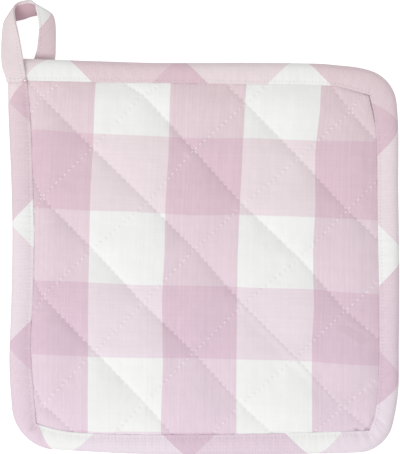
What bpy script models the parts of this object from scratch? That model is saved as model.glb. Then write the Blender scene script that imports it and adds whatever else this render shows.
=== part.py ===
# A square quilted pot holder: a padded cotton square, a bias strip bound round its edge, and a
# hanging loop at one corner. It lies on its back, with its face up. Sizes below are in millimetres,
# measured from the middle of the whole outline, x to the right and y towards the loop.

import math

import bmesh
import bpy
from mathutils import Vector

MM = 0.001

# Thicknesses and heights
STRIP = 0.9            # one side of the folded binding
GAP = 0.3              # left between pieces that touch
CHANNEL_LOW = STRIP + GAP
CHANNEL_TOP = 4.2      # top of the wadding where the binding grips it
PAD_MIDDLE = 0.4       # shares of the binding's width: a line of points along its middle,
PAD_EDGE = 0.79        # and the edge of the wadding inside its fold
EDGE_SQUEEZE = 0.25    # each face of the wadding is drawn in this much at that edge
QUILT_HIGH = 5.1       # face along a line of quilting
PUFF_HIGH = 8.4        # face in the middle of a quilted diamond
PUFF_POWER = 0.6       # below 1 for full diamonds with steep sides
BELLY = 0.45           # how full a diamond is where its back starts to touch
BACK_POWER = 1.3       # above 1 for a back that meets the table at a slant
EDGE_RISE = 11.0       # the face rises to its full height this far in from the binding

# Outer edge of the binding: (place along the side, distance from the middle)
LEFT_EDGE = ((86, -98.6), (62, -98.3), (20, -96.8), (-5, -96.3), (-40, -96.8), (-72, -97.8), (-116, -97.4))
RIGHT_EDGE = ((84, 101.2), (57, 101.6), (20, 101.8), (-21, 102.5), (-60, 102.3), (-116, 102.0))
TOP_EDGE = ((-99, 86.6), (-74, 86.0), (-49, 84.9), (-25, 84.3), (29, 84.1), (62, 83.7), (102, 83.2))
BOTTOM_EDGE = ((-98, -112.6), (-78, -113.9), (-61, -115.2), (-33, -116.4), (66, -116.4), (102, -116.2))
CORNER_RADII = {"top_left": 9.0, "top_right": 24.0, "bottom_right": 25.5, "bottom_left": 24.0}

# Inner edge of the binding on the face, the same way
LEFT_SEAM = ((75, -88.5), (50, -86.6), (14, -85.5), (-5, -85.1), (-32, -85.6), (-62, -86.8), (-101, -84.0))
RIGHT_SEAM = ((68, 86.8), (56, 89.4), (45, 90.5), (3, 91.1), (-40, 91.9), (-77, 91.5), (-98, 89.3), (-105, 86.7))
TOP_SEAM = ((-89, 75.0), (-54, 74.4), (24, 73.3), (62, 72.8), (71, 72.0), (80, 69.6), (87, 67.6))
BOTTOM_SEAM = ((-84, -100.8), (-72, -104.2), (-62, -105.4), (18, -106.2), (58, -105.2), (87, -104.4))

# Where the diagonal lines of quilting cross, row by row from the top: x and y of each crossing.
# Odd rows sit half a pitch to the right.
QUILT_ROWS = (
    ((-81.0, 66.7), (-29.2, 67.7), (23.6, 63.1), (77.4, 61.0)),
    ((-54.9, 40.5), (-3.1, 39.5), (50.8, 35.4)),
    ((-81.0, 15.4), (-26.7, 12.8), (22.1, 11.3), (75.4, 8.7)),
    ((-54.9, -11.3), (-2.6, -11.3), (50.8, -15.9)),
    ((-80.5, -35.4), (-29.2, -39.0), (22.1, -39.5), (74.4, -42.6)),
    ((-53.8, -63.6), (-3.1, -64.1), (49.2, -66.7)),
    ((-80.5, -91.3), (-28.7, -89.7), (21.0, -90.8), (72.8, -92.3)),
)
PITCH_ACROSS = Vector((51.9, -1.8))
PITCH_DOWN = Vector((-0.4, -51.8))
CELLS = 10             # mesh cells to a pitch of the quilting
FIRST_COLUMN, LAST_COLUMN = -0.2, 3.3   # the seams, in pitches from the first crossing
FIRST_ROW, LAST_ROW = -0.2, 3.3
LAST_CROSSING = 3.0

# Section of the binding, from its back seam round the fold to the face seam and back inside
BINDING_SECTION = (
    # share of the width out from the seam, mm back from there, height
    (0.0, 0.0, 0.0), (PAD_MIDDLE, 0.0, 0.0), (1.0, 1.7, 0.0), (1.0, 0.35, 0.9), (1.0, 0.0, 2.6),
    (1.0, 0.35, 4.3), (1.0, 1.7, 5.4), (PAD_MIDDLE, 0.0, 5.6), (0.0, 0.0, 5.3),
    (0.0, 0.0, CHANNEL_TOP + GAP), (PAD_MIDDLE, 0.0, CHANNEL_TOP + GAP), (PAD_EDGE, 0.0, CHANNEL_TOP + GAP),
    (1.0, 1.0, 3.6), (1.0, 1.0, 1.8),
    (PAD_EDGE, 0.0, STRIP), (PAD_MIDDLE, 0.0, STRIP), (0.0, 0.0, STRIP),
)

# The tail of the loop lies under this corner and lifts it
LIFT = 1.6
LIFT_ACROSS = (-94.0, -87.5, -71.5, -61.0)
LIFT_DOWN = (66.0, 75.5)
LIFT_TAKEN_UP = 0.4    # part of the lift that the wadding takes up by the top of the binding

# Hanging loop, from its front end round to its back end: the edge nearer the viewer, then the
# edge nearer the table, each as x, y and z of the middle of the strip's thickness
LOOP_STRIP = 1.5       # thickness of the strip
TAIL_STRIP = 1.1       # and where its tail is pressed flat
TAIL_FROM, TAIL_TO = 20, 22    # the stations between which it thins
LOOP_STEPS = 2         # sections from one station to the next
LOOP_SECTION = (
    # share of the width in from the far edge, share of the thickness out from its middle
    (0.04, -0.5), (0.5, -0.5), (0.96, -0.5), (1.0, -0.2), (1.0, 0.2),
    (0.96, 0.5), (0.5, 0.5), (0.04, 0.5), (0.0, 0.2), (0.0, -0.2),
)
LOOP_STATIONS = (
    # near x, y, z, far x, y, z
    (-88.4, 73.8, 7.3, -98.9, 73.8, 6.6),
    (-89.1, 78.0, 7.4, -99.9, 77.8, 6.6),
    (-89.9, 82.5, 7.5, -101.2, 81.5, 6.4),
    (-90.8, 88.4, 7.7, -101.8, 86.5, 5.5),
    (-91.8, 94.0, 8.0, -101.9, 92.4, 3.9),
    (-92.9, 99.5, 8.4, -101.7, 97.5, 2.2),
    (-94.1, 104.5, 8.7, -101.2, 102.0, 1.1),
    (-94.9, 109.5, 8.2, -100.9, 104.3, 0.9),
    (-94.6, 112.6, 7.3, -100.1, 105.6, 0.9),
    (-93.3, 114.6, 6.4, -98.0, 106.0, 0.9),
    (-91.1, 115.4, 6.5, -94.2, 106.3, 0.9),
    (-88.6, 115.8, 7.6, -90.0, 107.2, 0.9),
    (-86.6, 115.7, 8.7, -86.8, 108.4, 0.9),
    (-85.0, 115.3, 8.6, -82.8, 109.1, 0.9),
    (-84.2, 114.6, 7.4, -78.6, 109.3, 0.9),
    (-83.6, 113.4, 5.9, -76.2, 108.6, 0.9),
    (-83.1, 111.6, 5.4, -74.9, 106.3, 0.9),
    (-82.4, 108.6, 6.0, -74.1, 103.4, 0.9),
    (-81.8, 104.6, 7.2, -73.8, 99.9, 0.9),
    (-81.7, 100.4, 7.6, -73.8, 96.2, 0.9),
    (-82.4, 95.4, 6.6, -73.9, 92.2, 0.9),
    (-83.5, 91.2, 4.0, -74.2, 88.9, 0.8),
    (-84.7, 87.8, 1.6, -74.5, 86.7, 0.75),
    (-85.4, 85.2, 0.75, -74.9, 84.6, 0.7),
    (-86.2, 80.8, 0.6, -75.6, 80.2, 0.6),
    (-86.8, 77.2, 0.6, -76.2, 76.6, 0.6),
)

PINK = (0.73, 0.57, 0.63, 1)
PALE_PINK = (0.78, 0.66, 0.71, 1)
ROUGHNESS = 0.9

SOLVING_STEPS = 30     # halvings when looking for the outer edge
LONGEST_REACH = 40.0   # the outer edge is nearer than this to every point of the seam


def value_along(points, place):
    """The value at a place on a smooth line through (place, value) points, straight past its ends."""
    points = sorted(points)
    places = [p for p, _ in points]
    values = [v for _, v in points]
    slopes = [(b - a) / (q - p) for p, q, a, b in zip(places, places[1:], values, values[1:])]
    if place <= places[0]:
        return values[0] + slopes[0] * (place - places[0])
    if place >= places[-1]:
        return values[-1] + slopes[-1] * (place - places[-1])
    k = max(i for i, p in enumerate(places[:-1]) if p <= place)
    step = places[k + 1] - places[k]
    t = (place - places[k]) / step
    before = (slopes[max(k - 1, 0)] + slopes[k]) / 2
    after = (slopes[k] + slopes[min(k + 1, len(slopes) - 1)]) / 2
    return (
        values[k] * (1 + 2 * t) * (1 - t) ** 2
        + values[k + 1] * t * t * (3 - 2 * t)
        + step * (before * t * (1 - t) ** 2 - after * t * t * (1 - t))
    )


def ramp(value, start, end):
    """0 at start, 1 at end, smooth between."""
    t = min(max((value - start) / (end - start), 0.0), 1.0)
    return t * t * (3 - 2 * t)


def lift(x, y):
    """How far the tail of the loop raises the corner above the table."""
    across = ramp(x, *LIFT_ACROSS[:2]) * (1 - ramp(x, *LIFT_ACROSS[2:]))
    return LIFT * across * ramp(y, *LIFT_DOWN)


def placed(x, y, z):
    """A point of the square or its binding, in metres, raised where the loop's tail is under it."""
    z += lift(x, y) * (1 - LIFT_TAKEN_UP * z / (CHANNEL_TOP + CHANNEL_LOW))
    return Vector((x, y, z)) * MM


def crossing(column, row):
    """Where two lines of quilting cross, counted in pitches. Past the edge the even pitch goes on."""
    near_row, near_column = row, column
    while near_row < 0:
        near_row += 1
    while near_row > LAST_CROSSING:
        near_row -= 1
    points = QUILT_ROWS[round(near_row * 2)]
    first = near_row % 1
    while near_column < first:
        near_column += 1
    while near_column > first + len(points) - 1:
        near_column -= 1
    point = Vector(points[round(near_column - first)])
    return point + PITCH_ACROSS * (column - near_column) + PITCH_DOWN * (row - near_row)


def net_point(column, row):
    """A point of the quilting's net, straight along its lines between one crossing and the next."""
    falling, rising = column + row, column - row
    p, q = math.floor(falling), math.floor(rising)
    s, t = falling - p, rising - q
    corners = [crossing((a + b) / 2, (a - b) / 2) for a, b in ((p, q), (p + 1, q), (p, q + 1), (p + 1, q + 1))]
    return (
        corners[0] * (1 - s) * (1 - t)
        + corners[1] * s * (1 - t)
        + corners[2] * (1 - s) * t
        + corners[3] * s * t
    )


def square_point(column, row):
    """A point of the square inside its binding. Past the last crossings the net meets the seams."""
    inner = net_point(min(max(column, 0.0), LAST_CROSSING), min(max(row, 0.0), LAST_CROSSING))
    x, y = inner
    for _ in range(4):
        if column < 0:
            x = inner.x + (value_along(LEFT_SEAM, y) - inner.x) * column / FIRST_COLUMN
        elif column > LAST_CROSSING:
            share = (column - LAST_CROSSING) / (LAST_COLUMN - LAST_CROSSING)
            x = inner.x + (value_along(RIGHT_SEAM, y) - inner.x) * share
        if row < 0:
            y = inner.y + (value_along(TOP_SEAM, x) - inner.y) * row / FIRST_ROW
        elif row > LAST_CROSSING:
            share = (row - LAST_CROSSING) / (LAST_ROW - LAST_CROSSING)
            y = inner.y + (value_along(BOTTOM_SEAM, x) - inner.y) * share
    return x, y


def fullness(column, row, x, y):
    """Two shares of the full height: 0 on the quilting and 1 in mid-diamond, 0 at the seams and 1 inside."""
    swell = abs(math.sin(math.pi * (column + row)) * math.sin(math.pi * (column - row))) ** PUFF_POWER
    inset = min(
        x - value_along(LEFT_SEAM, y),
        value_along(RIGHT_SEAM, y) - x,
        value_along(TOP_SEAM, x) - y,
        y - value_along(BOTTOM_SEAM, x),
    )
    rise = 1 - (1 - min(max(inset, 0.0) / EDGE_RISE, 1.0)) ** 2
    return swell, rise


def face_height(swell, rise):
    return CHANNEL_TOP + (QUILT_HIGH - CHANNEL_TOP + (PUFF_HIGH - QUILT_HIGH) * swell) * rise


def back_height(swell, rise):
    return CHANNEL_LOW * (1 - min(swell * rise / BELLY, 1.0)) ** BACK_POWER


def inside_outline(x, y):
    left = x - value_along(LEFT_EDGE, y)
    right = value_along(RIGHT_EDGE, y) - x
    top = value_along(TOP_EDGE, x) - y
    bottom = y - value_along(BOTTOM_EDGE, x)
    corners = (
        (left, top, CORNER_RADII["top_left"]),
        (right, top, CORNER_RADII["top_right"]),
        (right, bottom, CORNER_RADII["bottom_right"]),
        (left, bottom, CORNER_RADII["bottom_left"]),
    )
    if min(left, right, top, bottom) < 0:
        return False
    return not any(a < r and b < r and math.hypot(r - a, r - b) > r for a, b, r in corners)


def edge_point(x, y, angle):
    """The outer edge of the binding, seen from a point of the seam along an angle."""
    low, high = 0.0, LONGEST_REACH
    for _ in range(SOLVING_STEPS):
        reach = (low + high) / 2
        if inside_outline(x + reach * math.cos(angle), y + reach * math.sin(angle)):
            low = reach
        else:
            high = reach
    return x + low * math.cos(angle), y + low * math.sin(angle)


def seam_stations():
    """Round the seam, clockwise from its top left corner: (seam point, point of the outer edge)."""
    columns = round((LAST_COLUMN - FIRST_COLUMN) * CELLS)
    rows = round((LAST_ROW - FIRST_ROW) * CELLS)
    across = [FIRST_COLUMN + i / CELLS for i in range(columns + 1)]
    down = [FIRST_ROW + j / CELLS for j in range(rows + 1)]
    sides = (
        ([(c, FIRST_ROW) for c in across], math.pi / 2, "top_left", "top_right"),
        ([(LAST_COLUMN, r) for r in down], 0.0, "top_right", "bottom_right"),
        ([(c, LAST_ROW) for c in reversed(across)], -math.pi / 2, "bottom_right", "bottom_left"),
        ([(FIRST_COLUMN, r) for r in reversed(down)], -math.pi, "bottom_left", "top_left"),
    )
    stations = []
    for places, outward, first_corner, last_corner in sides:
        points = [square_point(*place) for place in places]
        for x, y in points[:-1]:
            from_first = math.dist((x, y), points[0]) / CORNER_RADII[first_corner]
            to_last = math.dist((x, y), points[-1]) / CORNER_RADII[last_corner]
            fan = math.pi / 4 * (max(1 - from_first, 0.0) - max(1 - to_last, 0.0))
            stations.append(((x, y), edge_point(x, y, outward + fan)))
    return stations


def finished(bm, name, colour):
    """Turns the mesh into a named object with a material of its own, shaded smooth."""
    bmesh.ops.triangulate(bm, faces=bm.faces, quad_method="SHORT_EDGE")
    bmesh.ops.recalc_face_normals(bm, faces=bm.faces)
    mesh = bpy.data.meshes.new(name)
    bm.to_mesh(mesh)
    bm.free()
    mesh.polygons.foreach_set("use_smooth", [True] * len(mesh.polygons))
    material = bpy.data.materials.new(name)
    material.use_nodes = True
    shader = material.node_tree.nodes["Principled BSDF"]
    shader.inputs["Base Color"].default_value = colour
    shader.inputs["Roughness"].default_value = ROUGHNESS
    shader.inputs["Metallic"].default_value = 0.0
    material.diffuse_color = colour
    mesh.materials.append(material)
    piece = bpy.data.objects.new(name, mesh)
    collection.objects.link(piece)
    return piece


def split_along_quilting(bm, place_of):
    """Cuts each cell of the net corner to corner, along the nearer direction of quilting."""
    for face in list(bm.faces):
        corners = {place_of[v]: v for v in face.verts}
        column, row = min(corners)
        from_rising = (column + row + 1) / CELLS
        from_falling = (column - row) / CELLS
        if abs(from_rising - round(from_rising)) < abs(from_falling - round(from_falling)):
            pair = corners[(column + 1, row)], corners[(column, row + 1)]
        else:
            pair = corners[(column, row)], corners[(column + 1, row + 1)]
        bmesh.utils.face_split(face, *pair)


def quilted_pad(stations):
    """The padded square as one filled solid, its edge running into the fold of the binding."""
    columns = round((LAST_COLUMN - FIRST_COLUMN) * CELLS)
    rows = round((LAST_ROW - FIRST_ROW) * CELLS)
    bm = bmesh.new()
    face_z = bm.verts.layers.float.new("face")
    back_z = bm.verts.layers.float.new("back")
    bmesh.ops.create_grid(bm, x_segments=columns, y_segments=rows, size=1)
    first = round(FIRST_COLUMN * CELLS), round(FIRST_ROW * CELLS)
    place_of = {}
    for v in bm.verts:
        i = first[0] + round((v.co.x + 1) / 2 * columns)
        j = first[1] + round((1 - v.co.y) / 2 * rows)
        place_of[v] = (i, j)
        x, y = square_point(i / CELLS, j / CELLS)
        swell, rise = fullness(i / CELLS, j / CELLS, x, y)
        v.co = (x, y, 0)
        v[face_z] = face_height(swell, rise)
        v[back_z] = back_height(swell, rise)
    split_along_quilting(bm, place_of)
    outward = {(round(s[0], 3), round(s[1], 3)): (Vector(s), Vector(e)) for s, e in stations}
    for share, squeeze in ((PAD_MIDDLE, 0.0), (PAD_EDGE, EDGE_SQUEEZE)):
        rim = [e for e in bm.edges if e.is_boundary]
        old = {v for e in rim for v in e.verts}
        new = bmesh.ops.extrude_edge_only(bm, edges=rim)["geom"]
        moved = {}
        for v in (g for g in new if isinstance(g, bmesh.types.BMVert)):
            root = next(e.other_vert(v) for e in v.link_edges if e.other_vert(v) in old)
            seam, edge = outward[(round(root.co.x, 3), round(root.co.y, 3))]
            place = seam + (edge - seam) * share
            v.co = (place.x, place.y, 0)
            v[face_z] = CHANNEL_TOP - squeeze
            v[back_z] = CHANNEL_LOW + squeeze
            moved[(round(place.x, 3), round(place.y, 3))] = (seam, edge)
        outward = moved
    back = list(bm.verts)
    new = bmesh.ops.extrude_face_region(bm, geom=list(bm.faces), use_keep_orig=True)["geom"]
    for v in (g for g in new if isinstance(g, bmesh.types.BMVert)):
        v.co = placed(v.co.x, v.co.y, v[face_z])
    for v in back:
        v.co = placed(v.co.x, v.co.y, v[back_z])
    return finished(bm, "quilted_pad", PINK)


def tube(sections, closed):
    """A skin over a row of like cross-sections: a grid rolled up, its ends joined or capped."""
    around = len(sections[0])
    along = len(sections) if closed else len(sections) - 1
    bm = bmesh.new()
    bmesh.ops.create_grid(bm, x_segments=along, y_segments=around, size=1)
    for v in bm.verts:
        i = round((v.co.x + 1) / 2 * along) % len(sections)
        j = round((v.co.y + 1) / 2 * around) % around
        v.co = sections[i][j]
    bmesh.ops.remove_doubles(bm, verts=bm.verts, dist=0.00001)
    bmesh.ops.holes_fill(bm, edges=[e for e in bm.edges if e.is_boundary], sides=around)
    return bm


def edge_binding(stations):
    """The folded strip: up over the edge from the back seam to the face seam, all the way round."""
    sections = []
    for (sx, sy), (ex, ey) in stations:
        width = math.dist((sx, sy), (ex, ey))
        outs = [(share - back / width, z) for share, back, z in BINDING_SECTION]
        sections.append([placed(sx + (ex - sx) * out, sy + (ey - sy) * out, z) for out, z in outs])
    return finished(tube(sections, closed=True), "edge_binding", PALE_PINK)


def hanging_loop():
    """The loop's strip, from the front of the corner round to its tail under the back."""
    last = len(LOOP_STATIONS) - 1
    columns = [list(enumerate(column)) for column in zip(*LOOP_STATIONS)]
    places = [k / LOOP_STEPS for k in range(last * LOOP_STEPS + 1)]
    edges = [[value_along(column, place) for column in columns] for place in places]
    nears = [Vector(values[:3]) for values in edges]
    fars = [Vector(values[3:]) for values in edges]
    middles = [(near + far) / 2 for near, far in zip(nears, fars)]
    sections = []
    for k, place in enumerate(places):
        ahead = middles[min(k + 1, len(places) - 1)] - middles[max(k - 1, 0)]
        across = nears[k] - fars[k]
        thickness = LOOP_STRIP + (TAIL_STRIP - LOOP_STRIP) * ramp(place, TAIL_FROM, TAIL_TO)
        up = ahead.cross(across).normalized() * thickness
        sections.append([(fars[k] + across * share + up * out) * MM for share, out in LOOP_SECTION])
    return finished(tube(sections, closed=False), "hanging_loop", PALE_PINK)


for old_object in list(bpy.data.objects):
    bpy.data.objects.remove(old_object, do_unlink=True)
collection = bpy.data.collections.new("pot_holder")
bpy.context.scene.collection.children.link(collection)
ring = seam_stations()
quilted_pad(ring)
edge_binding(ring)
hanging_loop()
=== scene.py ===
import math

import bmesh
import bpy
import numpy as np
from bpy.props import FloatProperty, FloatVectorProperty, PointerProperty
from mathutils import Matrix, Vector, noise
from mathutils.bvhtree import BVHTree
from mathutils.kdtree import KDTree


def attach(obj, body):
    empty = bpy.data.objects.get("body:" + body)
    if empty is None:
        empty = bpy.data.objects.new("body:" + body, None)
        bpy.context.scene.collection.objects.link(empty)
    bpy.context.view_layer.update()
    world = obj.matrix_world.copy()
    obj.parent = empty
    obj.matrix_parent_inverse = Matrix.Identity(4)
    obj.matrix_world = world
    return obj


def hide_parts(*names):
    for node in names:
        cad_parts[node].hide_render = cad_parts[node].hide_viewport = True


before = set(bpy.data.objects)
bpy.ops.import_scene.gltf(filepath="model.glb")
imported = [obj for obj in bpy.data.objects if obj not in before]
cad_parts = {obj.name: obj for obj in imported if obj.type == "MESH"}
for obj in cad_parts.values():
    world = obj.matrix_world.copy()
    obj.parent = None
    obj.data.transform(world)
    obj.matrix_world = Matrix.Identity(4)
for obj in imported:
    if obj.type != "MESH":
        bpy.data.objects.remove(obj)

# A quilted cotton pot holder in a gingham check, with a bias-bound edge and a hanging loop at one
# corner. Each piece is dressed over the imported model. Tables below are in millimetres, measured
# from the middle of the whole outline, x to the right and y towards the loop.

bl_info = {
    "name": "Quilted pot holder",
    "version": (1, 0, 0),
    "blender": (4, 5, 0),
    "location": "3D View > Sidebar > Pot holder",
    "description": "A quilted gingham pot holder with a bound edge and a hanging loop",
    "category": "Object",
}

MM = 0.001
HALF_TALL = 0.116      # metres from the middle of the whole outline to its top

# ---- The photograph and the light ----

MM_PER_PIXEL = 0.5128  # from the bound square, 200 mm a side
PHOTO_TALL = 454       # pixels
PHOTO_LEVEL = 3.0      # height in mm at which that scale holds
SENSOR = 36.0          # mm
CLIP = (0.05, 20.0)    # metres from the camera
KEY_PLACE = (-0.95, -0.75, 0.95)
HORIZON = 0.3          # the light from above and below the table blend this far round its level
FLOOR_DROP = 0.00002   # metres that the floor lies under the back, so that the two don't touch

# ---- The square and its edge, as in the model ----

STRIP = 0.9            # one side of the folded binding
GAP = 0.3              # left between pieces that touch
CHANNEL_LOW = STRIP + GAP
CHANNEL_TOP = 4.2      # top of the wadding where the binding grips it
PAD_MIDDLE = 0.4       # shares of the binding's width: a line of points along its middle,
PAD_EDGE = 0.79        # and the edge of the wadding inside its fold
EDGE_SQUEEZE = 0.25    # each face of the wadding is drawn in this much at that edge
PUFF_POWER = 0.92      # below 1 for full diamonds with steep sides
BELLY = 0.45           # how full a diamond is where its back starts to touch
BACK_POWER = 1.3       # above 1 for a back that meets the table at a slant
EDGE_RISE = 11.0       # the face rises to its full height this far in from the binding

# Outer edge of the binding: (place along the side, distance from the middle)
LEFT_EDGE = ((86, -98.6), (62, -98.4), (20, -96.7), (-5, -96.3), (-40, -96.9), (-72, -97.8), (-116, -94.3))
RIGHT_EDGE = (
    (84, 98.4), (57, 101.4), (20, 101.7), (-21, 102.2), (-60, 102.0), (-88, 101.3), (-116, 95.3),
)
TOP_EDGE = (
    (-99, 86.5), (-74, 85.7), (-49, 84.9), (-25, 84.2), (29, 84.2), (62, 83.7), (80, 82.7), (102, 88.5),
)
BOTTOM_EDGE = ((-98, -113.2), (-78, -114.1), (-61, -115.0), (-33, -116.4), (66, -116.2), (102, -114.8))
CORNER_RADII = {"top_left": 9.0, "top_right": 24.8, "bottom_right": 13.1, "bottom_left": 19.8}
# How far from each corner the binding's folds fan out
FAN = {"top_left": 9.0, "top_right": 24.0, "bottom_right": 25.5, "bottom_left": 24.0}

# Inner edge of the binding on the face, the same way
LEFT_SEAM = ((75, -88.5), (50, -86.6), (14, -85.5), (-5, -85.1), (-32, -85.6), (-62, -86.8), (-101, -84.0))
RIGHT_SEAM = (
    (68, 86.8), (56, 89.4), (45, 90.5), (3, 91.1), (-40, 91.9), (-77, 91.5), (-98, 89.3), (-105, 86.7),
)
TOP_SEAM = ((-89, 75.0), (-54, 74.4), (24, 73.3), (62, 72.8), (71, 72.0), (80, 69.6), (87, 67.6))
BOTTOM_SEAM = ((-84, -100.8), (-72, -104.2), (-62, -105.4), (18, -106.2), (58, -105.2), (87, -104.4))

# Where the diagonal lines of quilting cross, row by row from the top: x and y of each crossing.
# Odd rows sit half a pitch to the right.
QUILT_ROWS = (
    ((-81.0, 66.7), (-29.2, 67.7), (23.6, 63.1), (77.4, 59.5)),
    ((-54.9, 40.5), (-3.1, 39.5), (50.8, 35.4)),
    ((-81.0, 15.4), (-26.7, 12.8), (22.1, 11.3), (75.4, 8.7)),
    ((-54.9, -11.3), (-2.6, -11.3), (50.8, -15.9)),
    ((-80.5, -35.4), (-29.2, -39.0), (22.1, -39.5), (74.4, -42.6)),
    ((-53.8, -63.6), (-3.1, -64.1), (49.2, -66.7)),
    ((-80.5, -91.3), (-28.7, -89.7), (21.0, -90.8), (72.8, -92.3)),
)
PITCH_ACROSS = Vector((51.9, -1.8))
PITCH_DOWN = Vector((-0.4, -51.8))
FIRST_COLUMN, LAST_COLUMN = -0.2, 3.3   # the seams, in pitches from the first crossing
FIRST_ROW, LAST_ROW = -0.2, 3.3
LAST_CROSSING = 3.0
NET_CELLS = 24         # mesh cells along a quilting line from one crossing to the next
NET_PITCH = 36.6       # mm from one crossing to the next along a line
LINE_STITCHES = 12     # stitches from one crossing to the next
SEAM_HIGH = 4.5        # face of the pad at the binding's inner edge
QUILTING_CREASE = 0.6  # 1 for a sharp fold in the cover at the quilting

CORNERS = {
    "top_left": (FIRST_COLUMN, FIRST_ROW),
    "top_right": (LAST_COLUMN, FIRST_ROW),
    "bottom_right": (LAST_COLUMN, LAST_ROW),
    "bottom_left": (FIRST_COLUMN, LAST_ROW),
}
SIDES = {
    # clockwise: the way out, and the corners at the side's ends
    "top": (math.pi / 2, "top_left", "top_right"),
    "right": (0.0, "top_right", "bottom_right"),
    "bottom": (-math.pi / 2, "bottom_right", "bottom_left"),
    "left": (-math.pi, "bottom_left", "top_left"),
}

LIFT = 1.6             # the tail of the loop lies under this corner and lifts its back by this
LIFT_ACROSS = (-94.0, -87.5, -71.5, -61.0)      # x where that starts, is full, and ends again
LIFT_DOWN = (66.0, 75.5)       # y where it starts and is full
LIFT_TAKEN_UP = 0.4    # share of it that the wadding takes up before the face

SOLVING_STEPS = 24     # halvings when looking for the outer edge
LONGEST_REACH = 40.0   # the outer edge is nearer than this to every point of the seam

# ---- The check ----

YARNS = 86             # threads in one band of the check
EVEN_WHITE = 0.45      # undyed yarns differ from each other by this share of what dyed ones do,
BIAS_STREAK = 0.55     # and all yarns of the stretched bias pieces by this share of the square's
WARP_UNDER, WARP_OVER = 0.47, 0.87  # share of the warp's colour where it goes under and over
SLUB_ACROSS, SLUB_ALONG = 0.37, 0.05    # how fast slubs change from yarn to yarn and along a yarn
STOUT_YARN = 3.0       # a lighter yarn stands this much higher
MOTTLE, MOTTLE_SCALE = 0.06, 90.0   # cloudiness of the dye, and how fine it is
FUZZ, FUZZ_SCALE = 0.6, 2600.0      # roughness of the fibres, and how fine it is
MOST_PAINTED_SHADE = 0.85         # share of the painted shade colour in the loop's hollow, standing in for the shade there
PLY_SCALE, FIBRE_SCALE = 900.0, 3000.0  # how fine the sewing thread's plies and fibres are
HOLE_SMALL, PINCH_FADE = 4.0, 0.55  # larger for a smaller needle hole, and dip round it
# Lines where one band of the square meets the next: x or y at the middle, its slope and its curve
# for each 100 mm along it
COLUMN_LINES = ((-56.1, 2.6, 1.0), (-17.8, 3.2, 1.4), (20.1, 3.6, 2.3), (58.9, 2.8, 1.7))
ROW_LINES = ((46.2, -3.8, 0.6), (6.8, -4.4, -0.5), (-30.3, -3.6, -0.9), (-67.4, -3.0, -1.2))
# The quilting pulls each of those lines a little aside: (place along it, how far in mm)
COLUMN_PULLS = (
    ((-90, 0.3), (-15, -0.3), (20, -0.3), (45, 0.2)),
    ((-98, -0.4), (-70, 0.4), (-38, -0.7), (-12, 0.1), (10, -0.3), (38, 0.3), (67, -0.3)),
    ((-98, -0.2), (-45, 0.0), (-15, -0.4), (30, 0.0), (67, -0.2)),
    ((-98, -0.5), (-58, -0.6), (-40, 0.2), (-12, -0.8), (10, -0.3), (38, -1.3), (60, 0.1)),
)
ROW_PULLS = (
    ((-80, 0.1), (-58, -0.6), (0, -0.7), (30, 0.3), (55, 0.0), (78, 0.4)),
    ((-80, -0.4), (-58, -0.8), (-37, -0.4), (-5, -1.1), (22, 0.3), (45, 0.8), (78, 1.0)),
    ((-66, 0.5), (-30, -0.4), (10, 0.5), (28, 0.3), (55, 0.9), (78, 0.0)),
    ((-80, 0.6), (-50, -0.5), (0, 0.2), (50, 0.8), (78, 0.1)),
)
FIRST_COLUMN_BAND, FIRST_ROW_BAND = 1, 2    # bands are pink where this count is even
# Where the two sets of slanting bands change colour at the binding's inner edge, clockwise
WEFT_CHANGES = (
    ("top", -90.2), ("top", -24.6), ("top", 34.4), ("right", 63.6), ("right", 1.5), ("right", -63.6),
    ("bottom", 72.8), ("bottom", 7.7), ("bottom", -54.4), ("left", -73.8), ("left", -10.8), ("left", 53.3),
)
WARP_CHANGES = (
    ("top", -55.4), ("top", 4.1), ("top", 67.2), ("right", 36.2), ("right", -30.3), ("right", -91.3),
    ("bottom", 43.6), ("bottom", -19.0), ("bottom", -82.6), ("left", -47.7), ("left", 14.4), ("left", 77.2),
)
FIRST_WEFT_BAND, FIRST_WARP_BAND = 1, 2

# ---- The binding ----

SIDE_STEPS = 260       # sections of the binding along each side
# Round the strip from under its inner edge on the face, over the fold, to the back and inside
BINDING_FACE = (
    # share of the width, mm out from there, height, share of the ripples
    (0.0, 0.3, 4.6, 0.0), (0.0, 0.05, 4.61, 0.0), (0.0, -0.15, 4.66, 0.2), (0.0, -0.1, 4.76, 0.5),
    (0.0, 0.15, 4.87, 0.7), (0.0, 0.6, 4.97, 0.7), (0.0, 1.1, 5.03, 0.5), (0.0, 1.5, 5.04, 0.4),
    (0.0, 1.9, 5.13, 0.6), (0.0, 2.5, 5.32, 1.0), (0.0, 3.3, 5.55, 1.0), (0.42, 0.0, 5.74, 0.8),
    (0.55, 0.0, 5.85, 0.6), (0.68, 0.0, 5.78, 0.4), (1.0, -2.3, 5.5, 0.3), (1.0, -1.4, 5.1, 0.2),
    (1.0, -0.7, 4.45, 0.1), (1.0, -0.2, 3.6, 0.0), (1.0, 0.0, 2.7, 0.0), (1.0, -0.12, 1.8, 0.0),
    (1.0, -0.5, 0.95, 0.0), (1.0, -1.2, 0.3, 0.0), (1.0, -2.2, 0.03, 0.0),
    (0.7, 0.0, 0.0, 0.0), (0.5, 0.0, 0.0, 0.0), (0.0, 3.0, 0.0, 0.0), (0.0, 2.3, 0.06, 0.0),
    (0.0, 1.8, 0.26, 0.0), (0.0, 1.5, 0.36, 0.0), (0.0, 1.2, 0.26, 0.0), (0.0, 0.7, 0.05, 0.0),
    (0.0, 0.15, 0.0, 0.0), (0.0, -0.15, 0.25, 0.0), (0.0, -0.1, 0.6, 0.0), (0.0, 0.3, 0.8, 0.0),
    (0.42, 0.0, 0.85, 0.0), (0.79, 0.0, 0.85, 0.0), (1.0, -1.15, 1.9, 0.0), (1.0, -1.15, 3.4, 0.0),
    (0.79, 0.0, 4.6, 0.0), (0.42, 0.0, 4.6, 0.0),
)
UNDERSIDE = 4.6        # height of the upper strip's own underside
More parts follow.
